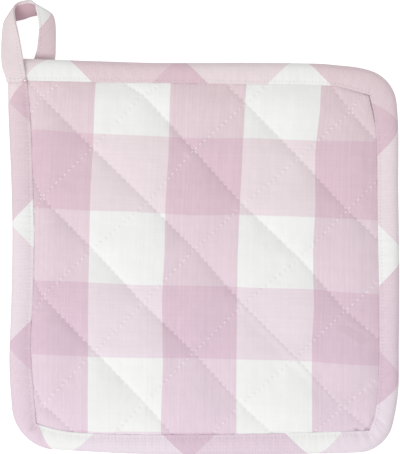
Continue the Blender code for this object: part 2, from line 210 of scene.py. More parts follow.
LEAST_STRIP = 0.08     # and the strip's least thickness over it
INNER_EDGE = 3         # the point of the strip that its slanting bands are measured from
TOP_LEAN, BOTTOM_LEAN = 0.6, 0.9    # those sides' faces lean outward by this much over their width,
LEAN_POWER = 1.5       # more of it towards the outer edge
STITCH_GROOVE = 0.05   # mm that its face is drawn down at a needle hole, and up between two
ROLLING, ROLLING_LONG = 0.18, 20.0  # mm of slow rise and fall, and how long it is round the edge
UNEVEN, UNEVEN_LONG = 0.12, 5.0     # mm of unevenness of its face, and its size
CORNER_WIDTHS = (12.4, 14.5)        # where it is this wide it goes round a corner, and there
CORNER_RIPPLE = 0.8    # its ripples are higher by this share

# Small folds and puckers that the sewing leaves: x and y where each starts and ends, its height and
# half its width. A hollow has a height below 0.
FOLDS = (
    # top right corner
    (87.0, 69.6, 87.4, 67.4, -0.5, 0.7), (88.6, 70.6, 89.2, 67.6, 0.35, 0.7),
    (84.5, 70.4, 87.0, 69.8, 0.35, 0.8), (88.6, 66.8, 89.6, 64.0, 0.35, 0.8),
    (89.0, 70.0, 94.0, 74.5, -0.4, 1.0),
    (86.0, 71.5, 88.5, 77.0, 0.3, 1.0), (90.5, 66.0, 96.5, 68.5, 0.3, 1.1),
    (91.5, 61.5, 96.5, 62.5, -0.3, 0.9), (78.0, 72.0, 80.0, 78.0, -0.25, 0.9),
    (72.0, 66.0, 79.0, 57.0, 0.25, 1.2), (80.5, 62.5, 84.5, 56.0, -0.25, 1.1),
    # bottom right corner
    (90.3, -96.4, 94.0, -101.5, -0.45, 0.8), (88.2, -99.5, 92.0, -106.0, 0.4, 1.0),
    (91.0, -92.0, 96.5, -95.0, -0.3, 0.9), (79.8, -103.0, 81.5, -108.5, -0.45, 0.7),
    (85.4, -103.6, 87.5, -109.5, -0.45, 0.8), (82.6, -104.0, 84.5, -109.0, 0.3, 0.9),
    (70.0, -52.0, 82.0, -60.0, 0.3, 1.3), (74.0, -49.5, 85.0, -56.0, -0.25, 1.1),
    # bottom left corner
    (-84.0, -101.5, -88.0, -106.5, -0.5, 0.8), (-81.5, -102.5, -84.0, -108.0, 0.35, 0.9),
    (-79.5, -103.5, -80.5, -109.5, -0.35, 0.8), (-85.0, -97.5, -91.0, -100.5, 0.3, 1.0),
    (-84.6, -93.0, -90.0, -94.5, -0.3, 0.9),
    # left side
    (-79.0, 26.0, -74.0, 34.0, 0.25, 1.2), (-82.0, -18.0, -77.0, -24.0, -0.25, 1.2),
)

# And folds of the pad alone, most of them where it is pulled down beside the binding
PAD_FOLDS = (
    (87.4, 67.0, 88.6, 61.0, -1.3, 0.55), (88.6, 61.0, 90.0, 54.0, -0.8, 0.5),
    (71.0, 71.6, 84.0, 68.2, -0.3, 0.5), (84.0, 68.2, 87.0, 67.4, -0.6, 0.55),
    (73.8, -90.0, 88.0, -78.6, -0.5, 1.1), (76.5, -92.4, 89.5, -81.8, 0.6, 1.1),
    (79.5, -103.6, 82.5, -103.6, -1.0, 0.6), (84.6, -103.9, 86.8, -103.2, -1.0, 0.6),
    (86.6, -103.0, 89.0, -97.5, -0.7, 0.55), (-84.6, -92.5, -84.0, -101.0, -0.15, 0.5),
    (-83.8, -101.2, -79.0, -103.0, -0.5, 0.5), (-82.0, -97.0, -74.0, -89.5, 0.3, 1.1),
    # and where the quilting lies less deep
    (22.0, -39.5, 73.0, -92.0, 1.1, 2.8), (-3.0, -64.0, 21.0, -90.5, 0.4, 2.8),
)

# ---- The hanging loop, as in the model ----

LOOP_STRIP = 1.5       # thickness of the strip
TAIL_STRIP = 1.1       # and where its tail is pressed flat
TAIL_FROM, TAIL_TO = 20, 22    # the stations between which it thins
LOOP_STEPS = 8         # sections from one station to the next
LOOP_SETTLE = (1.0, 2.2)       # its sewn front end is pressed down by this, over so many stations
LOOP_END_THIN, LOOP_END_LONG = 0.45, 0.6    # share of the thickness at that end, and stations it takes
LOOP_WIDE = 11.0
LOOP_BEGIN = 1.2
LOOP_TURN = 12.0       # on its inner side this much further on
LOOP_SHIFT = 2.2       # and on its outer side this much further back
LOOP_HOLLOW = (33.0, 37.0, 50.0, 54.0)  # the inner side has the most painted shade here: mm along, fading in and out
LOOP_RIM = 0.55        # and its rim has this share of that painted shade, and is plain again this much sooner
LOOP_RIM_SHORT = 5.0
LOOP_BEND = (48.0, 60.0)       # past the bend the check slants more, by this much over the width,
LOOP_SLANT = 2.6
LOOP_SHADE = 0.06      # and a little of the painted shade colour is mixed into the cloth
LOOP_RIPPLES = ((0.10, 3.1, 1.5), (0.06, 1.4, 8.5))  # of its edge: mm high, mm long, and a seed
LOOP_END_ROOM = 1.0    # mm from its ends to the first needle hole of its edge stitching
LOOP_GROOVE, LOOP_GROOVE_LONG = 0.05, 2.7   # mm that the strip is drawn in by that, and how often
# Across the strip on its outer side: share of the width from the far edge, share of the thickness
# from the middle, and 1 at the line of stitching. The inner side is the same in a mirror.
LOOP_OUTER_SIDE = (
    (0.0, -0.15, 0), (0.02, -0.36, 0), (0.06, -0.47, 0), (0.16, -0.53, 0), (0.35, -0.56, 0),
    (0.55, -0.56, 0), (0.72, -0.53, 0), (0.80, -0.47, 0), (0.855, -0.37, 1), (0.91, -0.44, 0),
    (0.955, -0.45, 0), (0.99, -0.37, 0), (1.0, -0.22, 0), (0.985, -0.08, 0),
)
LOOP_INNER_SIDE = tuple((share, -out, line) for share, out, line in reversed(LOOP_OUTER_SIDE))
LOOP_SECTION = (*LOOP_OUTER_SIDE, (0.96, 0.0, 0), *LOOP_INNER_SIDE)
LOOP_STITCH_FACE, LOOP_STITCH_BACK = 8, 20   # the points of the section where its edge is sewn
LOOP_STATIONS = (
    # near x, y, z, far x, y, z
    (-88.4, 73.8, 7.3, -98.9, 73.8, 6.6),
    (-89.1, 78.0, 7.4, -99.9, 77.8, 6.6),
    (-89.9, 82.5, 7.5, -101.2, 81.5, 6.4),
    (-90.8, 88.4, 7.7, -101.8, 86.5, 5.5),
    (-91.8, 94.0, 8.0, -101.9, 92.4, 3.9),
    (-92.9, 99.5, 8.4, -101.7, 97.5, 2.2),
    (-94.1, 104.5, 8.7, -101.2, 102.0, 1.1),
    (-94.9, 109.5, 8.2, -100.9, 104.3, 0.9),
    (-94.6, 112.6, 7.3, -100.1, 105.6, 0.9),
    (-93.3, 114.6, 6.4, -98.0, 105.6, 0.9),
    (-91.1, 115.4, 6.5, -94.2, 105.9, 0.9),
    (-88.6, 115.8, 7.6, -90.0, 106.8, 0.9),
    (-86.8, 115.7, 8.7, -86.8, 108.0, 0.9),
    (-85.4, 115.3, 8.1, -82.8, 108.9, 0.9),
    (-85.0, 114.5, 7.3, -78.3, 109.7, 0.9),
    (-84.4, 113.3, 6.5, -75.9, 109.0, 1.1),
    (-83.9, 111.5, 5.9, -74.7, 106.6, 1.0),
    (-83.2, 108.6, 5.2, -74.2, 103.4, 0.9),
    (-82.6, 104.6, 4.6, -74.1, 99.9, 0.9),
    (-82.4, 100.4, 4.3, -74.1, 96.2, 0.9),
    (-82.9, 95.4, 4.0, -74.2, 92.2, 0.9),
    (-83.5, 91.2, 3.2, -74.2, 88.9, 0.8),
    (-84.7, 87.8, 1.6, -74.5, 86.7, 0.75),
    (-85.4, 85.2, 0.75, -74.9, 84.6, 0.7),
    (-86.2, 80.8, 0.6, -75.6, 80.2, 0.6),
    (-86.8, 77.2, 0.6, -76.2, 76.6, 0.6),
)
LOOP_ROW = ((-98.3, 75.3), (-88.3, 75.1))    # the row of stitches across its front end

# ---- Cloth simulation ----

ROOM_SCALE = 20.0      # the cover is blown up at this scale, where the solver works well
LAST_FRAME = 20
COTTON = {
    "quality": 5, "mass": 0.05, "tension_stiffness": 15, "compression_stiffness": 15,
    "shear_stiffness": 5, "bending_stiffness": 0.05,
}
DIMPLE_WIDE = 1.1      # mm from a needle hole that the cloth is drawn in with it
RIPPLE_REACH, RIPPLE_FADE = 9.0, 2.6    # mm from a line of quilting that ripples reach, and fade over
NEXT_LINE = 57         # mm between the ripples of one line of quilting and those of the next
LUMPY, LUMPY_LONG = 0.18, 6.0   # mm of unevenness of the wadding, and its size

# ---- Thread ----

STITCH_SIDES, STITCH_RINGS = 6, 6
EDGE_STITCH_OUT = 1.5  # mm from the binding's inner edge to its line of stitching
HIDDEN_STITCH = 0.1    # a stitch over a crease deeper than this is lost in it
THREAD_FOLLOWS = 0.6   # a stitch over a hump rises with this share of it
NEEDLE_FROM = 0.05     # metres above and below the table that the needle starts from
STITCH_BLUNT = 0.25    # below 0.5 for a stitch with blunter ends than a ball's
STITCH_FLAT, STITCH_DIVE = 0.8, 1.3     # share of its width that it is high, and how far its ends dip
UNEVEN_LENGTH = 0.25   # stitches differ by this share in length,
UNEVEN_ASIDE, UNEVEN_PROUD = 0.9, 0.35  # and lie aside and stand out by these half widths
# How far each thread stands out of the cloth, in half widths, and how stout it is
QUILTING_THREAD, EDGE_THREAD, ROW_THREAD = (-0.1, 0.75), (-0.6, 0.65), (1.1, 1.6)


def an_amount(name, description, default, **more):
    """A value in the sidebar, as the three below."""
    return FloatProperty(name=name, description=description, default=default, **more)


def a_length(name, description, default, **more):
    return an_amount(name, description, default, unit="LENGTH", **more)


def a_share(name, description, default):
    return an_amount(name, description, default, subtype="FACTOR")


def a_colour(name, description, default):
    return FloatVectorProperty(
        name=name, description=description, default=default, subtype="COLOR", min=0.0, max=1.0)


class PotHolderSizes(bpy.types.PropertyGroup):
    """Heights, stitches and stuffing."""

    quilt_high: a_length(
        "Height at the quilting", "Face of the pad along a line of quilting", 5.1 * MM, min=4.4 * MM)
    puff_high: a_length(
        "Height of the puffs", "Face of the pad in the middle of a quilted diamond", 7.3 * MM)
    pressure: an_amount("Stuffing pressure", "How hard the wadding pushes on the cover", 7.0)
    slack: a_share("Slack", "Spare cloth between the lines of quilting", 0.01)
    most_move: a_length(
        "Most swelling", "How far a point of the cover may move from its pattern", 1.3 * MM)
    dimple: a_length("Needle dimples", "How deep each stitch pulls the cover in", 0.14 * MM)
    ripple: a_length("Ripples", "Height of the small puckers beside the seams", 0.14 * MM)
    stitch: a_length("Edge stitch", "From one needle hole to the next along the edge", 1.9 * MM)
    stitch_share: a_share("Stitch length", "Share of the stitch where the thread shows", 0.66)
    thread: a_length("Thread", "Width of the sewing thread", 0.5 * MM)


class PotHolderFinish(bpy.types.PropertyGroup):
    """Colours and surfaces of the cotton."""

    white: a_colour("White cotton", "Undyed yarn", (0.80, 0.80, 0.793))
    tinted: a_colour("White over pink", "Undyed yarn where it crosses dyed yarn", (0.79, 0.735, 0.75))
    pink: a_colour("Pink cotton", "Dyed yarn", (0.655, 0.495, 0.562))
    warmth: a_share("Warmth", "How much the dye turns from cool pink to warm towards the loop", 0.05)
    # painted shade: a darker pink laid on the loop's hollow and rim, where little light reaches
    painted_shade: a_colour(
        "Painted shade pink", "Where the loop's inner side is folded most closely", (0.54, 0.355, 0.41))
    thread: a_colour("Sewing thread", "White cotton thread", (0.9, 0.87, 0.88))
    roughness: a_share("Roughness", "Matt cotton is near 1", 0.9)
    sheen: a_share("Sheen", "Soft light along the fibres", 0.25)
    streak: a_share("Streaks", "How much one yarn differs from the next", 0.08)
    weave: a_length("Weave depth", "Height of the yarns where they cross", 0.035 * MM)
    hole_shade: a_share("Needle hole shade", "How dark a needle hole is", 0.06)
    hole_depth: a_length("Needle hole depth", "How far the cloth dips at a needle hole", 0.08 * MM)


class PotHolderStage(bpy.types.PropertyGroup):
    """Floor, light and camera."""

    floor: a_colour("Floor", "Colour of the floor", (0.93, 0.93, 0.93))
    floor_size: a_length("Floor size", "Length of its sides", 3.0)
    glow: an_amount("Floor glow", "Light that the floor gives", 0.5)
    key: an_amount("Main light", "Its power", 8.0, unit="POWER")
    key_size: a_length("Main light size", "Larger is softer", 0.9)
    fill: an_amount("Fill", "Light from all round", 0.9)
    bounce: an_amount("Bounce", "Light from below the table", 0.5)
    camera_high: a_length("Camera height", "Straight above the pot holder", 1.2)


# ---- Where things are ----


def value_along(points, place):
    """The value at a place on a smooth line through (place, value) points, straight past its ends."""
    points = sorted(points)
    places = [p for p, _ in points]
    values = [v for _, v in points]
    slopes = [(b - a) / (q - p) for p, q, a, b in zip(places, places[1:], values, values[1:])]
    if place <= places[0]:
        return values[0] + slopes[0] * (place - places[0])
    if place >= places[-1]:
        return values[-1] + slopes[-1] * (place - places[-1])
    k = max(i for i, p in enumerate(places[:-1]) if p <= place)
    step = places[k + 1] - places[k]
    t = (place - places[k]) / step
    before = (slopes[max(k - 1, 0)] + slopes[k]) / 2
    after = (slopes[k] + slopes[min(k + 1, len(slopes) - 1)]) / 2
    return (
        values[k] * (1 + 2 * t) * (1 - t) ** 2
        + values[k + 1] * t * t * (3 - 2 * t)
        + step * (before * t * (1 - t) ** 2 - after * t * t * (1 - t))
    )


def ramp(value, start, end):
    """0 at start, 1 at end, smooth between."""
    t = min(max((value - start) / (end - start), 0.0), 1.0)
    return t * t * (3 - 2 * t)


def lift(x, y):
    """How far the tail of the loop raises the corner above the table."""
    across = ramp(x, *LIFT_ACROSS[:2]) * (1 - ramp(x, *LIFT_ACROSS[2:]))
    return LIFT * across * ramp(y, *LIFT_DOWN)


def placed(x, y, z):
    """A point of the square or its binding, in metres, raised where the loop's tail is under it."""
    z += lift(x, y) * (1 - LIFT_TAKEN_UP * z / (CHANNEL_TOP + CHANNEL_LOW))
    return Vector((x, y, z)) * MM


def crossing(column, row):
    """Where two lines of quilting cross, counted in pitches. Past the edge the even pitch goes on."""
    near_row, near_column = row, column
    while near_row < 0:
        near_row += 1
    while near_row > LAST_CROSSING:
        near_row -= 1
    points = QUILT_ROWS[round(near_row * 2)]
    first = near_row % 1
    while near_column < first:
        near_column += 1
    while near_column > first + len(points) - 1:
        near_column -= 1
    point = Vector(points[round(near_column - first)])
    return point + PITCH_ACROSS * (column - near_column) + PITCH_DOWN * (row - near_row)


def net_point(column, row):
    """A point of the quilting's net, straight along its lines between one crossing and the next."""
    falling, rising = column + row, column - row
    p, q = math.floor(falling), math.floor(rising)
    s, t = falling - p, rising - q
    corners = [
        crossing((a + b) / 2, (a - b) / 2) for a, b in ((p, q), (p + 1, q), (p, q + 1), (p + 1, q + 1))
    ]
    return (
        corners[0] * (1 - s) * (1 - t)
        + corners[1] * s * (1 - t)
        + corners[2] * (1 - s) * t
        + corners[3] * s * t
    )


def square_point(column, row):
    """A point of the square inside its binding. Past the last crossings the net meets the seams."""
    inner = net_point(min(max(column, 0.0), LAST_CROSSING), min(max(row, 0.0), LAST_CROSSING))
    x, y = inner
    for _ in range(4):
        if column < 0:
            x = inner.x + (value_along(LEFT_SEAM, y) - inner.x) * column / FIRST_COLUMN
        elif column > LAST_CROSSING:
            share = (column - LAST_CROSSING) / (LAST_COLUMN - LAST_CROSSING)
            x = inner.x + (value_along(RIGHT_SEAM, y) - inner.x) * share
        if row < 0:
            y = inner.y + (value_along(TOP_SEAM, x) - inner.y) * row / FIRST_ROW
        elif row > LAST_CROSSING:
            share = (row - LAST_CROSSING) / (LAST_ROW - LAST_CROSSING)
            y = inner.y + (value_along(BOTTOM_SEAM, x) - inner.y) * share
    return x, y


def insets(x, y, left, right, top, bottom):
    """How far inside each of four edges a place is."""
    return (
        x - value_along(left, y), value_along(right, y) - x,
        value_along(top, x) - y, y - value_along(bottom, x),
    )


def fullness(column, row, x, y):
    """Two shares of the full height: from the quilting to mid-diamond, and from the seams inwards."""
    swell = abs(math.sin(math.pi * (column + row)) * math.sin(math.pi * (column - row))) ** PUFF_POWER
    inset = min(insets(x, y, LEFT_SEAM, RIGHT_SEAM, TOP_SEAM, BOTTOM_SEAM))
    share = min(max(inset, 0.0) / EDGE_RISE, 1.0)
    rise = (1 - (1 - share) ** 2 + ramp(share, 0, 1)) / 2
    return swell, rise


def inside_outline(x, y):
    """True inside the binding's outer edge, with its corners rounded off."""
    left, right, top, bottom = insets(x, y, LEFT_EDGE, RIGHT_EDGE, TOP_EDGE, BOTTOM_EDGE)
    if min(left, right, top, bottom) < 0:
        return False
    pairs = {
        "top_left": (left, top), "top_right": (right, top),
        "bottom_right": (right, bottom), "bottom_left": (left, bottom),
    }
    for corner, (a, b) in pairs.items():
        radius = CORNER_RADII[corner]
        if max(a, b) < radius < math.hypot(radius - a, radius - b):
            return False
    return True


def outer_point(side, seam):
    """The outer edge of the binding, seen from a point of the seam, fanned out round the corners."""
    outward, first, last = SIDES[side]
    from_first = math.dist(seam, square_point(*CORNERS[first])) / FAN[first]
    to_last = math.dist(seam, square_point(*CORNERS[last])) / FAN[last]
    angle = outward + math.pi / 4 * (max(1 - from_first, 0.0) - max(1 - to_last, 0.0))
    low, high = 0.0, LONGEST_REACH
    for _ in range(SOLVING_STEPS):
        reach = (low + high) / 2
        if inside_outline(seam[0] + reach * math.cos(angle), seam[1] + reach * math.sin(angle)):
            low = reach
        else:
            high = reach
    return seam[0] + low * math.cos(angle), seam[1] + low * math.sin(angle)


def seam_stations():
    """Clockwise from the seam's top left corner: (side, distance run, seam point, outer point)."""
    stations, run, last = [], 0.0, None
    for side, (_, first_corner, last_corner) in SIDES.items():
        start, end = Vector(CORNERS[first_corner]), Vector(CORNERS[last_corner])
        for k in range(SIDE_STEPS):
            seam = square_point(*start.lerp(end, k / SIDE_STEPS))
            run += math.dist(seam, last) if last else 0.0
            last = seam
            stations.append((side, run, seam, outer_point(side, seam)))
    run += math.dist(stations[0][2], last)
    stations.append(("left", run, stations[0][2], stations[0][3]))
    return stations


def band_lines(stations, changes, first_band):
    """(distance run, band) for each change of colour along the binding, carried on past both ends."""
    runs = []
    for side, place in changes:
        axis = 0 if side in ("top", "bottom") else 1
        near = sorted((seam[axis], run) for name, run, seam, _ in stations if name == side)
        past_start = min(place - near[0][0], 0.0)
        runs.append(float(np.interp(place, [n[0] for n in near], [n[1] for n in near])) + past_start)
    mean = (runs[-1] - runs[0]) / (len(runs) - 1)
    before = [runs[0] - mean * k for k in (3, 2, 1)]
    after = [runs[-1] + mean * k for k in (1, 2, 3)]
    return before + runs + after, list(range(first_band - 3, first_band + len(runs) + 3))


def slanting_bands(stations):
    """The changes of colour of the warp and of the weft, along the binding and the loop."""
    return (
        band_lines(stations, WARP_CHANGES, FIRST_WARP_BAND),
        band_lines(stations, WEFT_CHANGES, FIRST_WEFT_BAND),
    )


def folds_at(folds, x, y):
    """The height of the small folds and puckers at a place."""
    height = 0.0
    for x1, y1, x2, y2, high, wide in folds:
        if min(x1, x2) - 3 * wide > x or max(x1, x2) + 3 * wide < x:
            continue
        if min(y1, y2) - 3 * wide > y or max(y1, y2) + 3 * wide < y:
            continue
        dx, dy = x2 - x1, y2 - y1
        t = ((x - x1) * dx + (y - y1) * dy) / (dx * dx + dy * dy)
        t = min(max(t, 0.0), 1.0)
        away = math.hypot(x - x1 - t * dx, y - y1 - t * dy)
        height += high * math.exp(-((away / wide) ** 2)) * (0.55 + 0.45 * math.sin(math.pi * t))
    return height


def rough(x, y, seed=0.0):
    """Smooth noise from -1 to 1, the same each time."""
    return noise.noise(Vector((x, y, seed)))


def ripple_at(run, stitch):
    """Puckers along a line of stitching, about two stitches to each and never quite even."""
    drift = rough(run / 17, 3.1) * 2.2
    wave = math.sin(math.pi * run / stitch + drift * math.pi)
    return wave * (0.55 + 0.45 * rough(run / 9, 7.7)) + 0.9 * rough(run / 4.3, 5.5)


# ---- Finishes ----


class Finish:
    """A material whose nodes are added one by one. A value or a socket may feed any input."""

    def __init__(self, name, roughness, sheen=0.0):
        self.material = bpy.data.materials.new(name)
        self.material.use_nodes = True
        self.tree = self.material.node_tree
        self.shader = self.tree.nodes["Principled BSDF"]
        self.shader.inputs["Roughness"].default_value = roughness
        self.shader.inputs["Specular IOR Level"].default_value = 0.3
        self.shader.inputs["Sheen Weight"].default_value = sheen
        self.shader.inputs["Sheen Roughness"].default_value = 0.5

    def feed(self, socket, value):
        if isinstance(value, bpy.types.NodeSocket):
            self.tree.links.new(value, socket)
        else:
            socket.default_value = value

    def node(self, kind, inputs=(), **settings):
        made = self.tree.nodes.new("ShaderNode" + kind)
        for name, value in settings.items():
            setattr(made, name, value)
        for key, value in dict(inputs).items():
            self.feed(made.inputs[key], value)
        return made

    def sum(self, operation, first, second=0.0, third=0.0):
        return self.node("Math", {0: first, 1: second, 2: third}, operation=operation).outputs[0]

    def times(self, first, second):
        return self.sum("MULTIPLY", first, second)

    def times_plus(self, first, second, third):
        return self.sum("MULTIPLY_ADD", first, second, third)

    def parts(self, place):
        return self.node("SeparateXYZ", {0: place}).outputs

    def layer(self, name):
        """The two values of one of the piece's UV layers."""
        return self.parts(self.node("UVMap", uv_map=name).outputs[0])

    def where(self):
        return self.node("TexCoord").outputs["Object"]

    def cloud(self, place, scale, detail=2.0):
        return self.node("TexNoise", {"Vector": place, "Scale": scale, "Detail": detail}).outputs[0]

    def colour(self, colour, shade):
        self.feed(self.shader.inputs["Base Color"], self.scaled(colour, shade))

    def bump(self, height, strength, distance):
        made = self.node("Bump", {"Strength": strength, "Distance": distance, "Height": height})
        self.feed(self.shader.inputs["Normal"], made.outputs[0])

    def mix(self, share, first, second):
        made = self.node("Mix", data_type="RGBA")
        for index, value in ((0, share), (6, first), (7, second)):
            self.feed(made.inputs[index], value)
        return made.outputs[2]

    def scaled(self, colour, amount):
        made = self.node("VectorMath", operation="SCALE")
        self.feed(made.inputs[0], colour)
        self.feed(made.inputs["Scale"], amount)
        return made.outputs[0]


def needle_marks(cloth, phase, away):
    """A needle hole and the dip round it. phase counts stitches, away is mm from their line."""
    near = cloth.times_plus(cloth.sum("COSINE", cloth.times(phase, 2 * math.pi)), 0.5, 0.5)
    spread = cloth.sum("EXPONENT", cloth.times(cloth.times(away, away), -HOLE_SMALL))
    hole = cloth.times(spread, cloth.sum("POWER", near, 3.0))
    pinch = cloth.sum("EXPONENT", cloth.times(cloth.sum("ABSOLUTE", away), -PINCH_FADE))
    return hole, cloth.times_plus(cloth.times(pinch, near), 0.5, hole)


def gingham(name, finish, quilted=False, hollow=False, tone=1.0):
    """Plain-woven cotton in bands of dyed and undyed yarn. Its UV counts the bands both ways."""
    cloth = Finish(name, finish.roughness, finish.sheen)
    streak = 2 * finish.streak * (1.0 if quilted else BIAS_STREAK)
    bands, where = cloth.layer("bands"), cloth.where()
    warm = cloth.times_plus(cloth.parts(where)[1], 0.5 / HALF_TALL, 0.5)
    dyes = []
    for r, g, b in (finish.tinted, finish.pink):
        cool = (r, g, b * (1 + finish.warmth), 1.0)
        rosy = (r, g * (1 - finish.warmth / 3), b * (1 - finish.warmth), 1.0)
        dyes.append(cloth.mix(warm, cool, rosy))
    tinted, pink = dyes
    index, dyed, rounds = {}, {}, {}
    for way, band in (("warp", bands[0]), ("weft", bands[1])):
        dyed[way] = cloth.sum("LESS_THAN", cloth.sum("FLOORED_MODULO", band, 2.0), 1.0)
        yarn = cloth.times(band, float(YARNS))
        index[way] = cloth.sum("FLOOR", yarn)
        inside = cloth.sum("SUBTRACT", cloth.sum("FRACT", yarn), 0.5)
        rounds[way] = cloth.sum("COSINE", cloth.times(inside, math.pi))
    over = cloth.sum("FLOORED_MODULO", cloth.sum("ADD", index["warp"], index["weft"]), 2.0)
    warp_shows = cloth.times_plus(over, WARP_OVER - WARP_UNDER, WARP_UNDER)
    weft_shows = cloth.sum("SUBTRACT", 1.0, warp_shows)
    colour, shade = {}, {}
    for way, other in (("warp", "weft"), ("weft", "warp")):
        undyed = cloth.mix(dyed[other], (*finish.white, 1.0), tinted)
        colour[way] = cloth.mix(dyed[way], undyed, pink)
        lone = cloth.node("TexWhiteNoise", {"W": index[way]}, noise_dimensions="1D").outputs["Value"]
        run = {0: cloth.times(index[way], SLUB_ACROSS), 1: cloth.times(index[other], SLUB_ALONG)}
        slub = cloth.cloud(cloth.node("CombineXYZ", run).outputs[0], 1.0)
        both = cloth.times_plus(lone, 0.5, slub)
        strength = cloth.times_plus(dyed[way], streak * (1 - EVEN_WHITE), streak * EVEN_WHITE)
        shade[way] = cloth.times_plus(cloth.sum("SUBTRACT", both, 0.75), strength, 1.0)
    woven = cloth.mix(warp_shows, colour["weft"], colour["warp"])
    # painted shade: the loop's hollow gets the darker painted shade colour, by the share in its hollow UV
    # layer
    if hollow:
        woven = cloth.mix(cloth.times(cloth.layer("hollow")[0], MOST_PAINTED_SHADE), woven, (*finish.painted_shade, 1.0))
    lit, height = (
        cloth.sum("ADD", cloth.times(yarns["warp"], warp_shows), cloth.times(yarns["weft"], weft_shows))
        for yarns in (shade, rounds)
    )
    mottle = cloth.cloud(where, MOTTLE_SCALE, 3.0)
    lit = cloth.times(lit, cloth.times_plus(mottle, MOTTLE, tone - MOTTLE / 2))
    height = cloth.sum("ADD", height, cloth.times(lit, STOUT_YARN))
    height = cloth.times(cloth.times_plus(cloth.cloud(where, FUZZ_SCALE), FUZZ, height), finish.weave / MM)
    sewing = cloth.layer("sewing")
    if quilted:
        marks = []
        for crossways, along in ((sewing[0], sewing[1]), (sewing[1], sewing[0])):
            off = cloth.sum("SUBTRACT", cloth.sum("FRACT", cloth.sum("ADD", crossways, 0.5)), 0.5)
            phase = cloth.times(along, float(LINE_STITCHES))
            marks.append(needle_marks(cloth, phase, cloth.times(off, NET_PITCH)))
        hole, dip = (cloth.sum("MAXIMUM", *pair) for pair in zip(*marks))
    else:
        hole, dip = needle_marks(cloth, sewing[0], sewing[1])
    # painted shade in each needle hole: the colour is darkened there
    lit = cloth.times(lit, cloth.times_plus(hole, -finish.hole_shade, 1.0))
    cloth.colour(woven, lit)
    cloth.bump(cloth.times_plus(dip, -finish.hole_depth / MM, height), 1.0, MM)
    return cloth.material


def twisted_thread(name, finish):
    """Two plies of white cotton thread."""
    thread = Finish(name, finish.roughness, finish.sheen)
    where = thread.where()
    ply = thread.node(
        "TexWave", {"Vector": where, "Scale": PLY_SCALE, "Distortion": 1.5, "Detail": 1.0},
        bands_direction="DIAGONAL",
    ).outputs["Fac"]
    fibres = thread.cloud(where, FIBRE_SCALE)
    thread.colour((*finish.thread,), thread.times_plus(ply, 0.1, thread.times_plus(fibres, 0.1, 0.88)))
    thread.bump(ply, 0.6, 0.05 * MM)
    return thread.material


def painted_floor(name, colour, glow):
    """A matt white light table with a trace of unevenness."""
    paint = Finish(name, 0.8)
    paint.colour((*colour,), paint.times_plus(paint.cloud(paint.where(), 4.0, 3.0), 0.01, 0.995))
    paint.shader.inputs["Emission Color"].default_value = (1.0, 1.0, 1.0, 1.0)
    paint.shader.inputs["Emission Strength"].default_value = glow
    return paint.material


# ---- Making pieces ----


def linked(name, data):
    """A new object in the scene."""
    thing = bpy.data.objects.new(name, data)
    bpy.context.scene.collection.objects.link(thing)
    return thing


def show(name, mesh, material):
    """A mesh as a named object, shaded smooth."""
    mesh.polygons.foreach_set("use_smooth", [True] * len(mesh.polygons))
    mesh.materials.clear()
    mesh.materials.append(material)
    return linked(name, mesh)


def carried(name, mesh, material):
    """The same for a piece of the pot holder, which rides on the body."""
    piece = show(name, mesh, material)
    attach(piece, "root")
    return piece


def as_mesh(bm, name):
    """A finished mesh with its faces pointing outwards."""
    bmesh.ops.recalc_face_normals(bm, faces=bm.faces)
    mesh = bpy.data.meshes.new(name)
    bm.to_mesh(mesh)
    bm.free()
    return mesh


def points_of(mesh):
    """The places of a mesh's points, one row each."""
    places = np.zeros(len(mesh.vertices) * 3)
    mesh.vertices.foreach_get("co", places)
    return places.reshape(-1, 3)


def net_places(mesh):
    """The column and the row of the quilting's net at each point."""
    found = []
    for name in ("column", "row"):
        values = np.zeros(len(mesh.vertices), np.float32)
        mesh.attributes[name].data.foreach_get("value", values)
        found.append(values)
    return found


def rolled(sections, closed, maps):
    """A skin over a row of like cross-sections. maps(i, j, strip) gives point j of section i its UVs."""
    along, around = len(sections) - 1, len(sections[0])
    bm = bmesh.new()
    layers = [bm.loops.layers.uv.new(name) for name in ("bands", "sewing", "hollow")]
    bmesh.ops.create_grid(bm, x_segments=along, y_segments=around, size=1)
    cell = {}
    for v in bm.verts:
        i, j = round((v.co.x + 1) / 2 * along), round((v.co.y + 1) / 2 * around)
        cell[v] = (i, j)
        v.co = sections[i][j % around]
    for face in bm.faces:
        strip = min(cell[v][1] for v in face.verts)
        for loop in face.loops:
            for layer, place in zip(layers, maps(*cell[loop.vert], strip)):
                loop[layer].uv = place
    bmesh.ops.remove_doubles(bm, verts=bm.verts, dist=0.000005)
    if not closed:
        ends = [e for e in bm.edges if e.is_boundary]
        bmesh.ops.holes_fill(bm, edges=ends, sides=around)
    return bm


